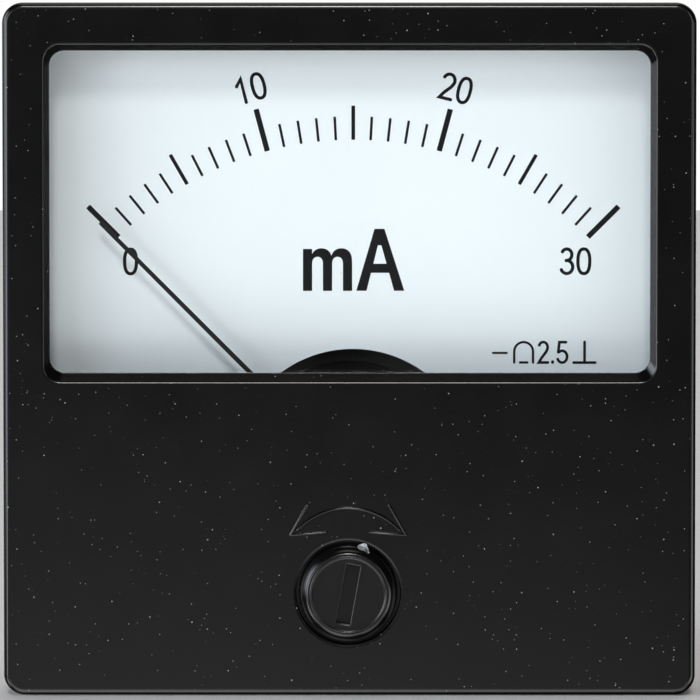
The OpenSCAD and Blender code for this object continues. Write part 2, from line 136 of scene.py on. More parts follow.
def bump(nt, bsdf, height, strength, dist):
    b = node(nt, "ShaderNodeBump")
    b.inputs["Strength"].default_value = strength
    b.inputs["Distance"].default_value = dist
    nt.links.new(height, b.inputs["Height"])
    nt.links.new(b.outputs[0], bsdf.inputs["Normal"])
    return b


def plastic(name, color, rough=0.4, vary=0.06, grain=2600, bump_mm=0.004, dust=0.0,
            dust_scale=2200, spec=0.5, tone=0.15, cluster=None):
    """Moulded plastic: fine grain, slow mottling, and dust specks where asked."""
    m, nt, b = base_mat(name)
    v = coords(nt)
    slow = noise(nt, v, 60, 3)
    fine = noise(nt, v, grain, 4, 0.6)
    dark = tuple(c * (1 - tone) for c in color)
    lite = tuple(min(1, c * (1 + tone)) for c in color)
    col = ramp(nt, slow, [(0.3, dark), (0.7, lite)])
    r = maprange(nt, noise(nt, v, 220, 4), 0.3, 0.7, rough - vary, rough + vary)
    if dust > 0:
        vo = node(nt, "ShaderNodeTexVoronoi")
        vo.inputs["Scale"].default_value = dust_scale
        nt.links.new(v, vo.inputs["Vector"])
        sep = node(nt, "ShaderNodeSeparateColor")
        nt.links.new(vo.outputs["Color"], sep.inputs[0])
        size = maprange(nt, sep.outputs[0], 0.0, 1.0, 0.055, 0.150)
        d = math_node(nt, "SUBTRACT", size, vo.outputs["Distance"])
        spot = maprange(nt, d, 0.0, 0.03, 0.0, 1.0, True)
        # how many cells carry a speck: a patchy share, more of them near the cluster
        share = maprange(nt, noise(nt, v, 75, 2), 0.35, 0.65, 0.90, 0.74)
        if cluster is not None:
            (cx, cy, cf), rad = cluster
            dist = node(nt, "ShaderNodeVectorMath", operation="DISTANCE")
            tc = node(nt, "ShaderNodeTexCoord")
            nt.links.new(tc.outputs["Object"], dist.inputs[0])
            dist.inputs[1].default_value = W(cx, cy, cf)
            near = maprange(nt, dist.outputs["Value"], 0.2 * rad * MM, rad * MM, -0.16, 0.0, True)
            share = math_node(nt, "ADD", share, near)
        has = maprange(nt, math_node(nt, "SUBTRACT", sep.outputs[1], share), 0.0, 0.02, 0.0, 1.0)
        lum = maprange(nt, sep.outputs[2], 0.0, 1.0, 0.12, 1.0)
        k = math_node(nt, "MULTIPLY", math_node(nt, "MULTIPLY", spot, lum), has)
        k = math_node(nt, "MULTIPLY", k, dust, True)
        col = mix_color(nt, k, col, (0.30, 0.30, 0.29))
        r = math_node(nt, "ADD", r, math_node(nt, "MULTIPLY", k, 0.4), True)
    nt.links.new(col, b.inputs["Base Color"])
    nt.links.new(r, b.inputs["Roughness"])
    b.inputs["IOR"].default_value = 1.5
    b.inputs["Specular IOR Level"].default_value = spec
    bump(nt, b, fine, 0.5, bump_mm * MM)
    return m


def metal(name, color, rough=0.3, vary=0.08, scale=900, stretch=(1, 1, 1), tarnish=0.15,
          bump_mm=0.003):
    m, nt, b = base_mat(name)
    v = coords(nt, 1.0, stretch)
    slow = noise(nt, v, 180, 4)
    fine = noise(nt, v, scale, 5, 0.6)
    dark = tuple(c * (1 - tarnish) for c in color)
    lite = tuple(min(1, c * (1 + 0.4 * tarnish)) for c in color)
    nt.links.new(ramp(nt, slow, [(0.32, dark), (0.68, lite)]), b.inputs["Base Color"])
    nt.links.new(maprange(nt, fine, 0.3, 0.7, rough - vary, rough + vary), b.inputs["Roughness"])
    b.inputs["Metallic"].default_value = 1.0
    bump(nt, b, fine, 0.35, bump_mm * MM)
    return m


def paint(name, color, rough=0.6, tone=0.03, scale=240, bump_mm=0.002, fibres=False,
          spec=0.5):
    m, nt, b = base_mat(name)
    v = coords(nt)
    slow = noise(nt, v, 90, 3)
    col = ramp(nt, slow, [(0.3, tuple(c * (1 - tone) for c in color)), (0.7, color)])
    if fibres:
        vo = node(nt, "ShaderNodeTexVoronoi")
        vo.inputs["Scale"].default_value = 420
        nt.links.new(v, vo.inputs["Vector"])
        spot = maprange(nt, vo.outputs["Distance"], 0.012, 0.03, 1.0, 0.0, True)
        col = mix_color(nt, math_node(nt, "MULTIPLY", spot, 0.5), col, (0.12, 0.12, 0.13))
    nt.links.new(col, b.inputs["Base Color"])
    b.inputs["Specular IOR Level"].default_value = spec
    r = maprange(nt, noise(nt, v, scale, 3), 0.3, 0.7, rough - 0.06, rough + 0.06)
    nt.links.new(r, b.inputs["Roughness"])
    bump(nt, b, noise(nt, v, 3200, 3), 0.3, bump_mm * MM)
    return m


def clear(name):
    """Cast acrylic pane: light passes, the surface keeps its reflection."""
    m = bpy.data.materials.new(name)
    m.use_nodes = True
    nt = m.node_tree
    nt.nodes.clear()
    out = node(nt, "ShaderNodeOutputMaterial")
    tr = node(nt, "ShaderNodeBsdfTransparent")
    tr.inputs[0].default_value = (0.985, 0.992, 0.993, 1)
    gl = node(nt, "ShaderNodeBsdfGlossy")
    gl.inputs["Color"].default_value = (1, 1, 1, 1)
    v = coords(nt)
    nt.links.new(maprange(nt, noise(nt, v, 300, 3), 0.3, 0.7, 0.03, 0.07), gl.inputs["Roughness"])
    # reflection by angle, the same from either side of each face: 0.04 + 0.96 * facing ** 5
    lw = node(nt, "ShaderNodeLayerWeight")
    lw.inputs["Blend"].default_value = 0.5
    fr = node(nt, "ShaderNodeMath", operation="MULTIPLY_ADD")
    nt.links.new(math_node(nt, "POWER", lw.outputs["Facing"], 5.0), fr.inputs[0])
    fr.inputs[1].default_value = 0.96
    fr.inputs[2].default_value = 0.04
    mx = node(nt, "ShaderNodeMixShader")
    nt.links.new(fr.outputs[0], mx.inputs[0])
    nt.links.new(tr.outputs[0], mx.inputs[1])
    nt.links.new(gl.outputs[0], mx.inputs[2])
    nt.links.new(mx.outputs[0], out.inputs["Surface"])
    return m


MAT = {
    "cover": plastic("black_cover_plastic", (0.0028, 0.0028, 0.0029), 0.152, 0.015, dust=0.9,
                     cluster=((0, -18, 10), 20)),
    "case": plastic("black_case_plastic", (0.0160, 0.0160, 0.0168), 0.46, 0.06, dust=0.25),
    "adjuster": plastic("black_adjuster_plastic", (0.0028, 0.0028, 0.0029), 0.18, 0.02,
                        dust=0.8, bump_mm=0.005),
    "dial": paint("dial_white_enamel", (0.855, 0.905, 0.92), 0.62, 0.02, fibres=True, spec=0.25),
    "ink": paint("dial_print_ink", (0.0020, 0.0020, 0.0026), 0.55, 0.2, spec=0.2),
    "pointer": paint("pointer_black_paint", (0.0045, 0.0045, 0.0055), 0.55, 0.25, spec=0.25),
    "pane": clear("clear_acrylic_pane"),
    "steel": metal("zinc_plated_steel", (0.62, 0.63, 0.64), 0.30, 0.08, 1100, tarnish=0.18),
    "washer": metal("nickel_plated_washer", (0.66, 0.65, 0.62), 0.26, 0.07, 1300, tarnish=0.15),
    "brass": metal("machined_brass", (0.72, 0.53, 0.24), 0.28, 0.08, 1200, tarnish=0.25),
    "iron": metal("blackened_soft_iron", (0.042, 0.038, 0.034), 0.55, 0.1, 700, tarnish=0.3),
    "magnet": metal("sintered_magnet", (0.075, 0.070, 0.066), 0.50, 0.1, 1500, tarnish=0.25),
    "alloy": metal("dark_cast_alloy_frame", (0.11, 0.105, 0.10), 0.50, 0.1, 500, tarnish=0.2),
    "former": metal("aluminium_former", (0.76, 0.77, 0.78), 0.30, 0.06, 900, tarnish=0.1),
    "pivot": metal("polished_pivot_steel", (0.66, 0.67, 0.69), 0.14, 0.04, 1500, tarnish=0.06),
    "bronze": metal("spring_bronze", (0.66, 0.46, 0.20), 0.22, 0.05, 2000, tarnish=0.2),
    "copper": metal("enamelled_copper_turns", (0.60, 0.25, 0.11), 0.30, 0.08, 2600,
                    stretch=(1, 1, 1), tarnish=0.35, bump_mm=0.02),
    "fibre": paint("pressed_fibre_board", (0.46, 0.35, 0.20), 0.75, 0.25, 900, 0.01),
    "resistor": paint("resistor_ceramic", (0.55, 0.50, 0.36), 0.55, 0.12, 600, 0.006),
    "red": plastic("red_lead_insulation", (0.36, 0.02, 0.016), 0.38, 0.06),
    "black_wire": plastic("black_lead_insulation", (0.018, 0.018, 0.020), 0.38, 0.06),
    "flake": paint("pale_grey_flake", (0.50, 0.51, 0.52), 0.45, 0.25, 800, 0.01),
}

NODE_MAT = {
    "front_cover": "cover", "window_pane": "pane", "rear_case": "case",
    "cover_screws": "steel", "mounting_studs": "brass", "zero_adjuster": "adjuster",
    "adjuster_retaining_ring": "steel", "dial_plate": "dial", "dial_screws": "steel",
    "dial_posts": "brass", "movement_frame": "alloy", "movement_screws": "steel",
    "yoke_ring": "iron", "core_magnet": "magnet", "core_spacers": "fibre",
    "coil_former": "former", "coil_winding": "copper", "front_pivot": "pivot",
    "rear_pivot": "pivot", "pointer_hub": "former", "balance_weights": "brass",
    "pointer": "pointer", "front_hairspring": "bronze", "rear_hairspring": "bronze",
    "bridge_pillars": "brass", "front_bridge": "brass", "front_bridge_screws": "steel",
    "rear_bridge": "brass", "rear_bridge_screws": "steel", "front_jewel_screw": "brass",
    "rear_jewel_screw": "brass", "front_lock_nut": "steel", "rear_lock_nut": "steel",
    "zero_lever": "brass", "pointer_stops": "steel", "terminal_studs": "brass",
    "solder_lugs": "washer", "terminal_washers": "washer", "terminal_case_nuts": "brass",
    "terminal_spring_washers": "steel", "terminal_wire_nuts": "brass",
    "shunt_resistor": "resistor", "positive_lead": "red", "negative_lead": "black_wire",
}


def set_mat(o, key):
    o.data.materials.clear()
    o.data.materials.append(MAT[key])


# -------------------------------------------------------------- mesh makers

class Builder:
    """Collects vertices and faces in working-frame millimetres."""

    def __init__(self):
        self.v, self.f = [], []

    def ring(self, pts):
        i = len(self.v)
        self.v += [tuple(p) for p in pts]
        return list(range(i, i + len(pts)))

    def bridge(self, a, b, closed=True, flip=False):
        n = len(a)
        for i in range(n if closed else n - 1):
            j = (i + 1) % n
            q = (a[i], a[j], b[j], b[i])
            self.f.append(q[::-1] if flip else q)

    def loft(self, rings, closed=True, flip=False):
        ids = [self.ring(r) for r in rings]
        for a, b in zip(ids, ids[1:]):
            self.bridge(a, b, closed, flip)
        return ids

    def fan(self, ids, flip=False):
        self.f.append(tuple(ids[::-1] if flip else ids))

    def area(self, outer, holes=(), up=True):
        """Fills between existing rings that lie in one plane of constant f."""
        loops = [outer] + list(holes)
        flat = [i for l in loops for i in l]
        pts = [[Vector((self.v[i][0], self.v[i][1], 0)) for i in l] for l in loops]
        for t in tessellate_polygon(pts):
            tri = [flat[k] for k in t]
            a, b, c = (self.v[k] for k in tri)
            z = (b[0] - a[0]) * (c[1] - a[1]) - (b[1] - a[1]) * (c[0] - a[0])
            if abs(z) < 1e-12:
                continue
            if (z > 0) != up:
                tri.reverse()
            self.f.append(tuple(tri))

    def make(self, name, mat, body="root", angle=32, replaces=(), slot=None):
        me = bpy.data.meshes.new(name)
        me.from_pydata([W(*p) for p in self.v], [], self.f)
        me.validate()
        o = bpy.data.objects.new(name, me)
        bpy.context.scene.collection.objects.link(o)
        bm = bmesh.new()
        bm.from_mesh(me)
        bmesh.ops.remove_doubles(bm, verts=bm.verts, dist=1e-7)
        bmesh.ops.recalc_face_normals(bm, faces=bm.faces)
        bm.to_mesh(me)
        bm.free()
        smooth(o, angle)
        set_mat(o, mat)
        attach(o, body)
        if replaces:
            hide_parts(*replaces)
        return o


def smooth(o, angle=32):
    me = o.data
    me.polygons.foreach_set("use_smooth", [True] * len(me.polygons))
    me.set_sharp_from_angle(angle=math.radians(angle))
    me.update()


def circle(cx, cy, r, f, n=96, a0=0.0):
    return [(cx + r * math.cos(a0 + 2 * math.pi * i / n),
             cy + r * math.sin(a0 + 2 * math.pi * i / n), f) for i in range(n)]


def rrect(cx, cy, w, h, r, f, n=10):
    pts = []
    for k, (sx, sy) in enumerate(((1, 1), (-1, 1), (-1, -1), (1, -1))):
        ox, oy = cx + sx * (w / 2 - r), cy + sy * (h / 2 - r)
        for i in range(n + 1):
            a = math.pi / 2 * (k + i / n)
            pts.append((ox + r * math.cos(a), oy + r * math.sin(a), f))
    return pts


def lathe(b, cx, cy, prof, n=96, close=True):
    """Profile of (r, f) turned about an axis along f. r = 0 ends close to a point fan."""
    ids = []
    for r, f in prof:
        ids.append([b.ring([(cx, cy, f)])[0]] if r < 1e-9 else b.ring(circle(cx, cy, r, f, n)))
    for p, q in zip(ids, ids[1:]):
        if len(p) == 1 and len(q) == 1:
            continue
        if len(p) == 1:
            for i in range(n):
                b.f.append((p[0], q[i], q[(i + 1) % n]))
        elif len(q) == 1:
            for i in range(n):
                b.f.append((p[i], q[0], p[(i + 1) % n]))
        else:
            b.bridge(p, q)
    return ids


def fillet(prof, at, r, n=4):
    """Rounds the corner at index at of a profile of (r, f)."""
    p, q, s = (Vector(prof[i]) for i in (at - 1, at, at + 1))
    u, w = (p - q), (s - q)
    lu, lw = u.length, w.length
    if lu < 1e-9 or lw < 1e-9:
        return prof
    u, w = u / lu, w / lw
    d = min(r, lu * 0.48, lw * 0.48)
    a, c = q + u * d, q + w * d
    arc = []
    for i in range(n + 1):
        t = i / n
        arc.append(tuple(a * (1 - t) ** 2 + q * 2 * t * (1 - t) + c * t * t))
    return prof[:at] + arc + prof[at + 1:]


def soften(prof, r, n=3, skip=()):
    """Rounds every inner corner of a profile."""
    out, k = list(prof), len(prof) - 2
    for i in range(k, 0, -1):
        if i not in skip:
            out = fillet(out, i, r, n)
    return out


# ------------------------------------------------------------- front cover

def build_cover():
    b = Builder()
    N = 14
    rc, re = 1.8, 0.5

    def square(inset, f):
        return rrect(0, 0, 60 - 2 * inset, 60 - 2 * inset, rc - inset, f, N)

    rings = [square(0.10, 2.5), square(0.03, 2.53), square(0, 2.6), square(0, 6.0),
             square(0, 9.30)]
    K = 10
    for i in range(K + 1):
        a = math.pi / 2 * i / K
        rings.append(square(re * (1 - math.cos(a)), 9.5 + re * math.sin(a)))
    rings.append(square(re + 0.12, FACE))
    outer = b.loft(rings)

    # window: chamfer from the face down to the light, then the wall to the pane
    cx, cy, w, h = 0.05, 11.91, 52.0, 27.88

    def win(t, f, grow=0.0):
        # t = 0 at the light, 1 at the outer edge of the chamfer
        ww, hh = w + 2 * 0.5 * t, h + (0.5 + 0.8) * t
        return rrect(cx, cy + (0.5 - 0.8) / 2 * t, ww + 2 * grow, hh + 2 * grow,
                     1.3 + 0.2 * t + grow * 0.5, f, N)

    wr = [win(1, FACE, 0.22), win(1, FACE, 0.07), win(1, FACE - 0.012, 0.025),
          win(0.96, FACE - 0.04), win(0.90, FACE - 0.078), win(0.10, FACE - 0.592),
          win(0.03, FACE - 0.635), win(0.0, FACE - 0.70), win(0.0, 9.06), win(0, 9.0, 0.03),
          win(0, 9.0, 0.88), win(0, 7.8, 0.88)]
    window = b.loft(wr)

    # adjuster mouth and journal bore
    n = 128
    mouth = [(4.80, FACE), (4.60, FACE), (4.582, FACE - 0.006), (4.573, FACE - 0.018),
             (4.57, FACE - 0.035), (4.57, 8.66), (4.52, 8.60), (2.62, 8.60), (2.55, 8.55),
             (2.55, 5.46), (2.60, 5.4), (5.94, 5.4), (6.0, 5.46), (6.0, 7.8)]
    mids = [b.ring(circle(AX, AZ, r, f, n)) for r, f in mouth]
    for p, q in zip(mids, mids[1:]):
        b.bridge(p, q)

    b.area(outer[-1], [window[0], mids[0]], True)

    # inside: ceiling, pocket walls, rear rim
    pocket = b.loft([rrect(0, 0, 56, 56, 1.0, 7.8, N), rrect(0, 0, 56, 56, 1.0, 2.62, N),
                     rrect(0, 0, 56.2, 56.2, 1.1, 2.5, N)])
    b.area(pocket[0], [window[-1], mids[-1]], False)
    b.bridge(outer[0], pocket[-1])

    # screw bosses reach down from the ceiling, a hair clear of the flange
    for s in (-1, 1):
        lathe(b, s * 25.2, -15, [(3.0, 7.82), (3.0, 2.56), (2.94, 2.5), (1.2, 2.5), (1.2, 7.0),
                                 (0, 7.0)], 48)

    # raised arrow mark
    def ridge(path, w=0.30, hgt=0.20, taper=0.15):
        P = [Vector(p) for p in path]
        M = 8
        tang = []
        for i in range(len(P)):
            a, c = P[max(i - 1, 0)], P[min(i + 1, len(P) - 1)]
            tang.append((c - a).normalized())
        rows = []
        caps = 5
        # rounded ends: extra rows that shrink along a quarter circle
        for k in range(caps):
            a = math.pi / 2 * (1 - k / caps)
            rows.append((P[0] - tang[0] * (w / 2) * math.sin(a), tang[0], math.cos(a)))
        for p, t in zip(P, tang):
            rows.append((p, t, 1.0))
        for k in range(caps):
            a = math.pi / 2 * ((k + 1) / caps)
            rows.append((P[-1] + tang[-1] * (w / 2) * math.sin(a), tang[-1], math.cos(a)))
        ids = []
        for p, t, s in rows:
            nrm = Vector((-t.y, t.x))
            s = max(s, 0.02)
            ring = []
            for i in range(M + 1):
                a = math.pi * i / M
                q = p + nrm * (w / 2 * s * math.cos(a))
                ring.append((q.x, q.y, FACE - 0.03 + (hgt + 0.03) * (s ** 0.6) * math.sin(a) ** 0.75))
            ids.append(b.ring(ring))
        for p, q in zip(ids, ids[1:]):
            for i in range(M):
                b.f.append((p[i], p[i + 1], q[i + 1], q[i]))
            b.f.append((p[M], p[0], q[0], q[M]))
        b.fan(ids[0])
        b.fan(ids[-1], True)

    for s in (-1, 1):
        tip, up, base = (AX + s * 5.0, -16.07), (AX + s * 3.55, -13.49), (AX + s * 1.92, -15.85)
        ridge([tip, ((tip[0] + up[0]) / 2, (tip[1] + up[1]) / 2), up])
        ridge([tip, ((tip[0] + base[0]) / 2, (tip[1] + base[1]) / 2), base])
    ridge([(AX + 6.07 * math.cos(math.radians(a)), -19.81 + 6.07 * math.sin(math.radians(a)))
           for a in [43.5 + 93 * i / 40 for i in range(41)]])

    return b.make("front_cover_shell", "cover", replaces=("front_cover",),
                  slot="black_moulding", angle=36)


cover = build_cover()


# ------------------------------------------------------------ zero adjuster

def build_adjuster():
    b = Builder()
    n = 128
    top = 11.75
    prof = [(0, 4.6), (2.42, 4.6), (2.5, 4.68), (2.5, 4.93), (2.47, 4.95), (2.12, 4.95),
            (2.1, 4.97), (2.1, 5.33), (2.12, 5.35), (2.47, 5.35), (2.5, 5.38), (2.5, 8.60),
            (2.54, 8.65), (4.20, 8.65), (4.25, 8.70)]
    for i in range(19):
        a = math.pi / 2 * i / 20
        prof.append((3.25 + 1.0 * math.cos(a) ** 0.8, 9.65 + 2.1 * math.sin(a) ** 0.9))
    # a fine raised rim round the flat
    prof += [(3.345, 11.715), (3.315, 11.738), (3.275, 11.748), (3.235, 11.742), (3.205, 11.722),
             (3.19, 11.700), (3.17, 11.690), (3.05, 11.688)]
    ids = lathe(b, AX, AZ, prof, n)
    flat = ids[-1]
    F = 11.688

    tilt = -math.radians(10.2)

    def slot(grow, f, r=0.10):
        pts = rrect(0, 0, 1.27 + 2 * grow, 5.24 + 2 * grow, max(r + grow, 0.03), 0, 5)
        c, s = math.cos(tilt), math.sin(tilt)
        return [(AX + x * c - y * s, AZ + x * s + y * c, f) for x, y, _ in pts]

    sl = b.loft([slot(0.10, F), slot(0.045, F), slot(0.015, F - 0.012), slot(0.0, F - 0.05),
                 slot(0.0, F - 0.98), slot(-0.03, F - 1.04)])
    b.area(flat, [sl[0]], True)
    b.area(sl[-1], (), True)
    # crank pin
    lathe(b, AX, AZ + 1.5, [(0, 1.5), (0.52, 1.5), (0.6, 1.58), (0.6, 4.62)], 32)
    return b.make("zero_adjuster_head", "adjuster", body="adjuster", replaces=("zero_adjuster",),
                  slot="adjuster_black", angle=40)


adjuster = build_adjuster()


def shoulder(x, y):
    """Height of the adjuster's rounded shoulder under a point."""
    r = math.hypot(x - AX, y - AZ)
    t = min(1.0, max(0.0, (r - 3.25) / 1.0))
    a = math.acos(t ** (1 / 0.8))
    return max(10.06, 9.65 + 2.1 * math.sin(a) ** 0.9)


def build_flake():
    """The little pale flake stuck on the adjuster's shoulder, at the top of its mouth."""
    b = Builder()
    pts = [(0.68, -17.02), (0.80, -16.92), (1.02, -16.84), (1.24, -16.77), (1.40, -16.78),
           (1.52, -16.86), (1.56, -17.04), (1.68, -17.30), (1.74, -17.50), (1.66, -17.58),
           (1.50, -17.44), (1.34, -17.34), (1.12, -17.28), (0.90, -17.22), (0.76, -17.12)]
    lift = [0.05 + 0.05 * math.sin(2.6 * i) for i in range(len(pts))]
    top = b.ring([(x, y, shoulder(x, y) + 0.10 + d) for (x, y), d in zip(pts, lift)])
    low = b.ring([(x, y, shoulder(x, y) + 0.03 + d) for (x, y), d in zip(pts, lift)])
    b.bridge(low, top)
    c = b.ring([(1.24, -17.06, shoulder(1.24, -17.06) + 0.24)])[0]
    d = b.ring([(1.24, -17.06, shoulder(1.24, -17.06) + 0.03)])[0]
    n = len(pts)
    for i in range(n):
        b.f.append((top[i], top[(i + 1) % n], c))
        b.f.append((low[(i + 1) % n], low[i], d))
    return b.make("stuck_flake", "flake", body="adjuster", angle=18)


flake = build_flake()


# --------------------------------------------------------------- dial print

def offset_path(pts, w, closed=False):
    """Left and right offsets of a path with mitred joins."""
    P = [Vector(p) for p in pts]
    n = len(P)
    L, R = [], []
    for i in range(n):
        if closed:
            a, c = P[(i - 1) % n], P[(i + 1) % n]
        else:
            a, c = P[max(i - 1, 0)], P[min(i + 1, n - 1)]
        d0 = (P[i] - a).normalized() if (P[i] - a).length > 1e-9 else (c - P[i]).normalized()
        d1 = (c - P[i]).normalized() if (c - P[i]).length > 1e-9 else d0
        t = (d0 + d1)
        t = t.normalized() if t.length > 1e-6 else d1
        nrm = Vector((-t.y, t.x))
        k = max(0.42, nrm.dot(Vector((-d1.y, d1.x))))
        L.append(P[i] + nrm * (w / 2 / k))
        R.append(P[i] - nrm * (w / 2 / k))
    return L, R


def stroke(pts, w, closed=False, cap=0.5):
    """Convex pieces that together make a stroke. cap is the ends' roundness."""
    L, R = offset_path(pts, w, closed)
    n = len(L)
    out = []
    for i in range(n if closed else n - 1):
        j = (i + 1) % n
        out.append([L[i], R[i], R[j], L[j]])
    if not closed and cap > 0:
        P = [Vector(p) for p in pts]
        for c, q in ((P[0], P[1]), (P[-1], P[-2])):
            t = (c - q).normalized()
            nrm = Vector((-t.y, t.x))
            r = w / 2
            out.append([c + nrm * (r * math.cos(a)) + t * (2 * cap * r * math.sin(a))
                        for a in [math.pi * i / 8 for i in range(9)]])
    return out


def arc(cx, cy, rx, ry, a0, a1, n=14, p=1.0):
    pts = []
    for i in range(n + 1):
        a = math.radians(a0 + (a1 - a0) * i / n)
        c, s = math.cos(a), math.sin(a)
        pts.append((cx + rx * math.copysign(abs(c) ** p, c), cy + ry * math.copysign(abs(s) ** p, s)))
    return pts


class Ink:
    """Thin printed film made of overlapping strokes and areas, merged in plan."""

    def __init__(self):
        self.polys = []

    def add(self, polys, at=(0, 0), turn=0.0, size=1.0):
        c, s = math.cos(math.radians(turn)), math.sin(math.radians(turn))
        for poly in polys:
            self.polys.append([Vector((at[0] + size * (p[0] * c - p[1] * s),
                                       at[1] + size * (p[0] * s + p[1] * c))) for p in poly])

    def make(self, name, mat, f0, f1, body="root", slot=None):
        verts, faces = [], []
        for poly in self.polys:
            area = sum(poly[i].x * poly[(i + 1) % len(poly)].y -
                       poly[(i + 1) % len(poly)].x * poly[i].y for i in range(len(poly)))
            if abs(area) < 1e-10:
                continue
            if area < 0:
                poly = poly[::-1]
            k = len(verts)
            verts += [Vector((p.x, p.y)) for p in poly]
            faces.append(list(range(k, k + len(poly))))
        v2, _, f2, _, _, forig = delaunay_2d_cdt(verts, [], faces, 0, 1e-6)
        keep = [f for f, o in zip(f2, forig) if o]
        me = bpy.data.meshes.new(name)
        me.from_pydata([W(p.x, p.y, f1) for p in v2], [], keep)
        bm = bmesh.new()
        bm.from_mesh(me)
        bmesh.ops.delete(bm, geom=[v for v in bm.verts if not v.link_faces], context="VERTS")
        bmesh.ops.dissolve_limit(bm, angle_limit=0.001, verts=bm.verts, edges=bm.edges)
        bmesh.ops.triangulate(bm, faces=[f for f in bm.faces if len(f.verts) > 4])
        for f in bm.faces:
            if f.normal.y > 0:
                f.normal_flip()
        top = list(bm.faces)
        ret = bmesh.ops.extrude_face_region(bm, geom=top, use_keep_orig=True)
        back = [g for g in ret["geom"] if isinstance(g, bmesh.types.BMVert)]
        for v in back:
            v.co.y += (f1 - f0) * MM
        bmesh.ops.recalc_face_normals(bm, faces=bm.faces)
        bm.to_mesh(me)
        bm.free()
        o = bpy.data.objects.new(name, me)
        bpy.context.scene.collection.objects.link(o)
        smooth(o, 30)
        set_mat(o, mat)
        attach(o, body)
        return o


# Glyphs in a box one high, on the base line, as stroke paths. w is the stroke.
def g_zero(hw=0.212, w=0.120):
    return stroke(arc(0, 0.5, hw, 0.5 - w / 2, 0, 360, 40, 0.84)[:-1], w, True)


def g_one(w=0.120):
    return stroke([(-0.165, 0.645), (0.045, 0.885), (0.045, 0.02)], w, cap=0.4)


def g_two(w=0.120, k=1.0):
    top = arc(0.0, 0.715, 0.205 * k, 0.230, 160, -18, 16)
    return stroke(top + [(0.12 * k, 0.50), (-0.075 * k, 0.27), (-0.205 * k, 0.062),
                         (0.225 * k, 0.062)], w, cap=0.4)


def g_three(w=0.120):
    up = arc(-0.005, 0.735, 0.183, 0.205, 152, -74, 16)
    lo = arc(-0.005, 0.295, 0.214, 0.235, 78, -158, 18)
    return stroke(up + [(-0.035, 0.525)], w, cap=0.4) + stroke([(-0.035, 0.525)] + lo, w, cap=0.4)


def g_five(w=0.120):
    bowl = arc(-0.005, 0.315, 0.212, 0.255, 128, -158, 20)
    return (stroke([(0.17, 0.94), (-0.125, 0.94), (-0.175, 0.50)], w, cap=0.4) +
            stroke([(-0.175, 0.50)] + bowl, w, cap=0.4))


def rect(x0, y0, x1, y1, r=0.04, n=4):
    r = min(r, abs(x1 - x0) / 2.01, abs(y1 - y0) / 2.01)
    return [[(p[0], p[1]) for p in
             rrect((x0 + x1) / 2, (y0 + y1) / 2, abs(x1 - x0), abs(y1 - y0), r, 0, n)]]


def build_print():
    ink = Ink()
    # scale: thirty divisions over ninety degrees
    for i in range(31):
        a = math.radians(45 - 3 * i)
        if i % 10 == 0:
            r1, w = 32.92, 0.475
        elif i % 5 == 0:
            r1, w = 32.11, 0.325
        else:
            r1, w = 31.18, 0.230
        tick = rect(-w / 2, 29.12, w / 2, r1, 0.05)
        ink.add(tick, (DIAL_X, DIAL_Z), math.degrees(a))
    H = 2.45
    ink.add(g_zero(), (-19.21, 6.25), 0, H)
    ink.add(g_three(), (19.10, 6.27), 0, H)
    ink.add(g_zero(), (20.59, 6.27), 0, H)
    ink.add(g_one(), (-9.12, 21.33), 14.2, H)
    ink.add(g_zero(), (-7.68, 21.68), 14.2, H)
    ink.add(g_two(), (8.33, 21.64), -14.2, H)
    ink.add(g_zero(), (9.79, 21.28), -14.2, H)

    # unit: m
    x0, y0, st = -4.07, 4.89, 0.805
    ink.add(rect(x0, y0, x0 + st, y0 + 3.69, 0.06))
    gap = 0.95
    for k in range(2):
        a = x0 + st + k * (gap + st)          # inner left edge of this arch
        b2 = a + gap                          # inner right edge
        ink.add(rect(b2, y0, b2 + st, y0 + 2.40, 0.06))
        cxi, top = (a + b2) / 2, y0 + 2.38
        n = 14
        inner, outer = [], []
        for i in range(n + 1):
            t = math.pi * (1 - i / n)
            ci, si = math.cos(t), math.sin(t)
            inner.append((cxi + gap / 2 * ci, top + 0.62 * abs(si) ** 0.8))
            outer.append((a - 0.12 + (b2 + st - a + 0.12) / 2 * (1 + ci),
                          top + 1.37 * abs(si) ** 0.62))
        quads = [[inner[i], inner[i + 1], outer[i + 1], outer[i]] for i in range(n)]
        ink.add(quads)
    # unit: A
    y1, hh = 4.90, 5.44
    xl, xr, ax0, ax1 = 0.61, 4.83, 2.21, 3.08
    legw = 0.90
    ink.add([[(xl, y1), (xl + legw, y1), (ax1 - 0.20, y1 + hh), (ax0, y1 + hh)]])
    ink.add([[(xr - legw, y1), (xr, y1), (ax1, y1 + hh), (ax0 + 0.20, y1 + hh)]])
    yb0, yb1 = y1 + 1.58, y1 + 2.38
    ink.add([[(xl + 0.75, yb0), (xr - 0.75, yb0), (xr - 1.0, yb1), (xl + 1.0, yb1)]])
    ink.add([[(ax0 + 0.02, y1 + hh - 1.45), (ax1 - 0.02, y1 + hh - 1.45), (ax1, y1 + hh),
              (ax0, y1 + hh)]])

    # symbols
    w = 0.20
    ink.add(stroke([(12.63, -0.56), (13.83, -0.56)], w, cap=0.5))
    ink.add(stroke([(14.49, -1.42)] + arc(15.315, -0.44, 0.825, 0.83, 180, 0, 20) +
                   [(16.14, -1.42)], w * 1.05, cap=0.4))
    ink.add(stroke([(14.98, -1.40), (15.66, -1.40)], w * 1.05, cap=0.4))
    S = 2.04
    ink.add(g_two(0.120, 0.92), (17.04, -1.53), 0, S)
    ink.add(rect(17.73, -1.52, 17.99, -1.21, 0.10))
    ink.add(g_five(0.120), (18.71, -1.53), 0, S)
    ink.add(stroke([(20.67, -1.38), (20.67, 0.43)], w * 1.2, cap=0.4))
    ink.add(stroke([(19.69, -1.41), (21.63, -1.41)], w * 1.2, cap=0.4))
    return ink.make("dial_print", "ink", 3.396, 3.412, slot="pointer_black")


dial_print = build_print()


# ------------------------------------------------------- threads and fasteners

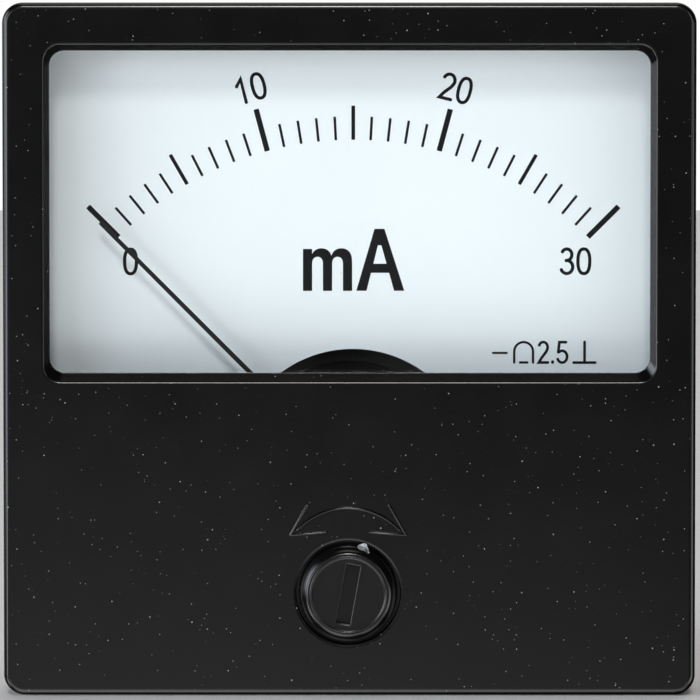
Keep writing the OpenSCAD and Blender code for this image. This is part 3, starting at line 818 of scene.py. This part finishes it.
def threaded(b, cx, cy, y0, y1, r, pitch, tip=0.4, segs=40, depth=None, per=8, first=0.0):
    """A male thread from y0 to y1 behind the panel plane, with a chamfered tip."""
    depth = depth or 0.54 * pitch
    rows = int((y1 - y0) / pitch * per)
    ids = []
    for k in range(rows + 1):
        y = y0 + (y1 - y0) * k / rows
        ring = []
        for i in range(segs):
            ph = (y / pitch - i / segs) % 1.0
            tri = abs(ph - 0.5) * 2                 # 1 at root, 0 at crest
            d = depth * min(1, max(0, (tri - 0.12) / 0.76))
            rr = r - d
            end = r - max(0.0, y - (y1 - tip))      # chamfered tip
            rr = min(rr, end)
            fade = min(1.0, max(0.0, (y - y0) / (0.6 * pitch)))
            rr = rr * fade + min(r, r - depth * 0.5) * (1 - fade)
            a = 2 * math.pi * i / segs
            ring.append((cx + rr * math.cos(a), cy + rr * math.sin(a), -y))
        ids.append(b.ring(ring))
    for p, q in zip(ids, ids[1:]):
        b.bridge(p, q)
    b.fan(ids[-1])
    return ids


def build_mounting_studs():
    b = Builder()
    for sx in (-1, 1):
        for sy in (-1, 1):
            x, y = 24 * sx, 24 * sy
            lathe(b, x, y, [(0, 2.5), (2.12, 2.5), (2.2, 2.42), (2.2, 0.0), (1.28, 0.0),
                            (1.28, -0.25)], 40)
            ids = threaded(b, x, y, 0.25, 12.0, 1.5, 0.5, 0.4, 40)
    return b.make("mounting_stud_threads", "brass", replaces=("mounting_studs",), slot="brass",
                  angle=50)


studs = build_mounting_studs()


def hexring(cx, cy, af, f, per=8, grow=0.0, turn=0.0):
    pts = []
    for i in range(6 * per):
        a = 2 * math.pi * i / (6 * per) + turn
        k = (math.degrees(a - turn) % 60) - 30
        r = (af / 2 + grow) / math.cos(math.radians(k))
        pts.append((cx + r * math.cos(a), cy + r * math.sin(a), f))
    return pts


def hexnut(b, cx, cy, af, f0, f1, bore, per=8):
    """Hexagon nut with turned chamfers at both faces and a countersunk bore."""
    n = 6 * per
    rc = af / 2 * 0.965
    t = math.tan(math.radians(28))

    def side(f, sgn):
        out = []
        for i in range(n):
            a = 2 * math.pi * i / n
            k = (math.degrees(a) % 60) - 30
            r = (af / 2) / math.cos(math.radians(k))
            drop = max(0.0, (r - rc)) * t
            out.append((cx + r * math.cos(a), cy + r * math.sin(a), f - sgn * drop))
        return out

    rings = [circle(cx, cy, bore, f0 + 0.25, n), circle(cx, cy, bore + 0.25, f0, n),
             circle(cx, cy, rc, f0, n), side(f0, -1), side(f1, 1), circle(cx, cy, rc, f1, n),
             circle(cx, cy, bore + 0.25, f1, n), circle(cx, cy, bore, f1 - 0.25, n)]
    ids = b.loft(rings)
    b.bridge(ids[-1], ids[0])


def build_terminals():
    T = [(-13, 10), (13, 10)]
    b = Builder()
    for x, y in T:
        # hexagon head inside the case, then the long thread
        hx = [hexring(x, y, 6.86, -22.2), hexring(x, y, 7.0, -22.28), hexring(x, y, 7.0, -24.92),
              hexring(x, y, 6.86, -25.0)]
        ids = b.loft(hx)
        b.fan(ids[0], True)
        b.fan(ids[-1])
        lathe(b, x, y, [(1.74, -24.9), (1.74, -28.2)], 44)
        threaded(b, x, y, 28.2, 41.5, 1.97, 0.7, 0.4, 44)
    b.make("terminal_stud_threads", "brass", replaces=("terminal_studs",), slot="brass", angle=50)

    b = Builder()
    for x, y in T:
        for f0, f1 in ((-28.8, -28.0), (-32.0, -31.2)):
            lathe(b, x, y, [(2.1, f0 + 0.08), (2.16, f0), (4.3, f0), (4.4, f0 + 0.1),
                            (4.4, f1 - 0.06), (4.34, f1), (2.16, f1), (2.1, f1 - 0.08),
                            (2.1, f0 + 0.08)], 72)
    b.make("flat_washers", "washer", replaces=("terminal_washers",), slot="plated_steel")

    b = Builder()
    for x, y in T:
        hexnut(b, x, y, 7.0, -31.2, -28.8, 1.80)
    b.make("case_hex_nuts", "brass", replaces=("terminal_case_nuts",), slot="brass", angle=24)

    b = Builder()
    for x, y in T:
        hexnut(b, x, y, 7.0, -36.2, -33.0, 1.80)
    b.make("wire_hex_nuts", "brass", replaces=("terminal_wire_nuts",), slot="brass", angle=24)

    b = Builder()
    for x, y in T:
        # split spring washer, bevelled, its gap cut on the slant
        sect = [(2.1, 0.10), (2.2, 0.0), (3.5, 0.0), (3.6, 0.1), (3.6, 0.9), (3.5, 1.0),
                (2.2, 1.0), (2.1, 0.9)]
        rows = []
        n = 60
        for i in range(n + 1):
            ring = []
            for r, h in sect:
                slant = (h - 0.5) * 14
                a = math.radians(35 + 5 + slant + (350 - 0) * i / n)
                ring.append((x + r * math.cos(a), y + r * math.sin(a), -33.0 + h))
            rows.append(b.ring(ring))
        for p, q in zip(rows, rows[1:]):
            b.bridge(p, q)
        b.fan(rows[0])
        b.fan(rows[-1], True)
    b.make("split_spring_washers", "steel", replaces=("terminal_spring_washers",),
           slot="plated_steel", angle=28)


build_terminals()


# -------------------------------------------- CAD nodes that stay, refinished

for name, obj in NODES.items():
    set_mat(obj, NODE_MAT[name])

def soft_edges(name, width, segs=2, angle=40):
    o = NODES[name]
    w = o.modifiers.new("weld", "WELD")
    w.merge_threshold = 2e-6
    m = o.modifiers.new("edges", "BEVEL")
    m.width = width * MM
    m.segments = segs
    m.limit_method = "ANGLE"
    m.angle_limit = math.radians(angle)
    m.use_clamp_overlap = True
    m.harden_normals = True
    m.miter_outer = "MITER_ARC"


soft_edges("rear_case", 0.18, 3)
soft_edges("window_pane", 0.08, 2)
soft_edges("pointer", 0.05, 2)


# ------------------------------------------------------------ light and stage

scene = bpy.context.scene
scene.view_settings.view_transform = "Standard"
scene.view_settings.look = "None"
scene.view_settings.exposure = 0.0
scene.view_settings.gamma = 1.0

world = bpy.data.worlds.new("studio")
scene.world = world
world.use_nodes = True
wt = world.node_tree
wt.nodes.clear()
wout = node(wt, "ShaderNodeOutputWorld")


def lobe(direction, radius, strength):
    """A soft round patch of light in the tent, gone at its radius."""
    vm = node(wt, "ShaderNodeVectorMath", operation="DOT_PRODUCT")
    wt.links.new(wdir, vm.inputs[0])
    vm.inputs[1].default_value = direction
    return maprange(wt, vm.outputs["Value"], math.cos(math.radians(radius)), 1.0, 0.0, strength,
                    True)


tcw = node(wt, "ShaderNodeTexCoord")
wdir = tcw.outputs["Generated"]


# The tent, as soft round patches seen from the meter: angle off its axis, clock angle from
# straight up (90 is the viewer's right), radius, strength. Straight ahead is left dark.
PATCHES = [
    (13, 0, 11, 0.64), (13, 180, 11, 0.64), (13, 240, 11, 0.26), (26, 72, 13, 2.22),
    (26, 144, 13, 1.65), (26, 180, 13, 1.89), (26, 216, 13, 3.13), (26, 288, 13, 4.00),
    (40, 120, 14, 1.72), (40, 180, 20, 1.03), (40, 270, 14, 6.58),
    (55, 105, 23, 2.74), (55, 150, 16, 1.84), (55, 195, 23, 2.15),
    (55, 240, 16, 4.36), (72, 287, 26, 4.95),
    (92, 0, 20, 1.60), (20, 0, 6, 3.36), (28, 0, 6, 10.65),
    (32, 0, 6, 21.51), (36, 0, 6, 17.73),
    (140, 12, 42, 1.30), (148, 250, 40, 1.10),
]


def tint(theta, phi):
    if theta > 60 and phi == 0:
        return (1.12, 1.0, 0.88)
    if 250 < phi < 310:
        return (0.93, 0.99, 1.08)
    return (1.0, 1.0, 1.0)


sums = {}
for th, ph, rad, power in PATCHES:
    t0, p0 = math.radians(th), math.radians(ph)
    aim = (math.sin(t0) * math.sin(p0), -math.cos(t0), math.sin(t0) * math.cos(p0))
    part = lobe(aim, rad, power)
    key = tint(th, ph)
    sums[key] = math_node(wt, "ADD", sums[key], part) if key in sums else part
total = None
for key, part in sums.items():
    sc = node(wt, "ShaderNodeVectorMath", operation="SCALE")
    sc.inputs[0].default_value = key
    wt.links.new(part, sc.inputs["Scale"])
    if total is None:
        total = sc.outputs[0]
    else:
        ad = node(wt, "ShaderNodeVectorMath", operation="ADD")
        wt.links.new(total, ad.inputs[0])
        wt.links.new(sc.outputs[0], ad.inputs[1])
        total = ad.outputs[0]
lit = node(wt, "ShaderNodeBackground")
wt.links.new(total, lit.inputs["Color"])
white = node(wt, "ShaderNodeBackground")
white.inputs["Color"].default_value = (1, 1, 1, 1)
lp = node(wt, "ShaderNodeLightPath")
mixw = node(wt, "ShaderNodeMixShader")
wt.links.new(lp.outputs["Is Camera Ray"], mixw.inputs[0])
wt.links.new(lit.outputs[0], mixw.inputs[1])
wt.links.new(white.outputs[0], mixw.inputs[2])
wt.links.new(mixw.outputs[0], wout.inputs["Surface"])

# floor
fm = bpy.data.meshes.new("floor")
fz = -0.03006
fm.from_pydata([(-3, -3, fz), (3, -3, fz), (3, 3, fz), (-3, 3, fz)], [], [(0, 1, 2, 3)])
floor = bpy.data.objects.new("floor", fm)
scene.collection.objects.link(floor)
mf, ntf, bf = base_mat("pale_floor")
bf.inputs["Base Color"].default_value = (0.86, 0.86, 0.86, 1)
bf.inputs["Roughness"].default_value = 0.9
bf.inputs["Specular IOR Level"].default_value = 0.1
fm.materials.append(mf)
# the floor is only there to be seen: the tent's light reaches the meter from below as well
floor.visible_diffuse = False
floor.visible_glossy = False
floor.visible_transmission = False
floor.visible_shadow = False

# camera
cam_data = bpy.data.cameras.new("camera")
cam = bpy.data.objects.new("camera", cam_data)
scene.collection.objects.link(cam)
el = math.radians(2.45)
dist = 0.420
target = Vector((0.00006, -0.010, -0.00002))
cam.location = target + Vector((0, -dist * math.cos(el), dist * math.sin(el)))
cam.rotation_euler = (math.pi / 2 - el, 0, 0)
cam_data.sensor_width = 36
cam_data.lens = 249.7
cam_data.clip_start = 0.01
cam_data.clip_end = 20
scene.camera = cam
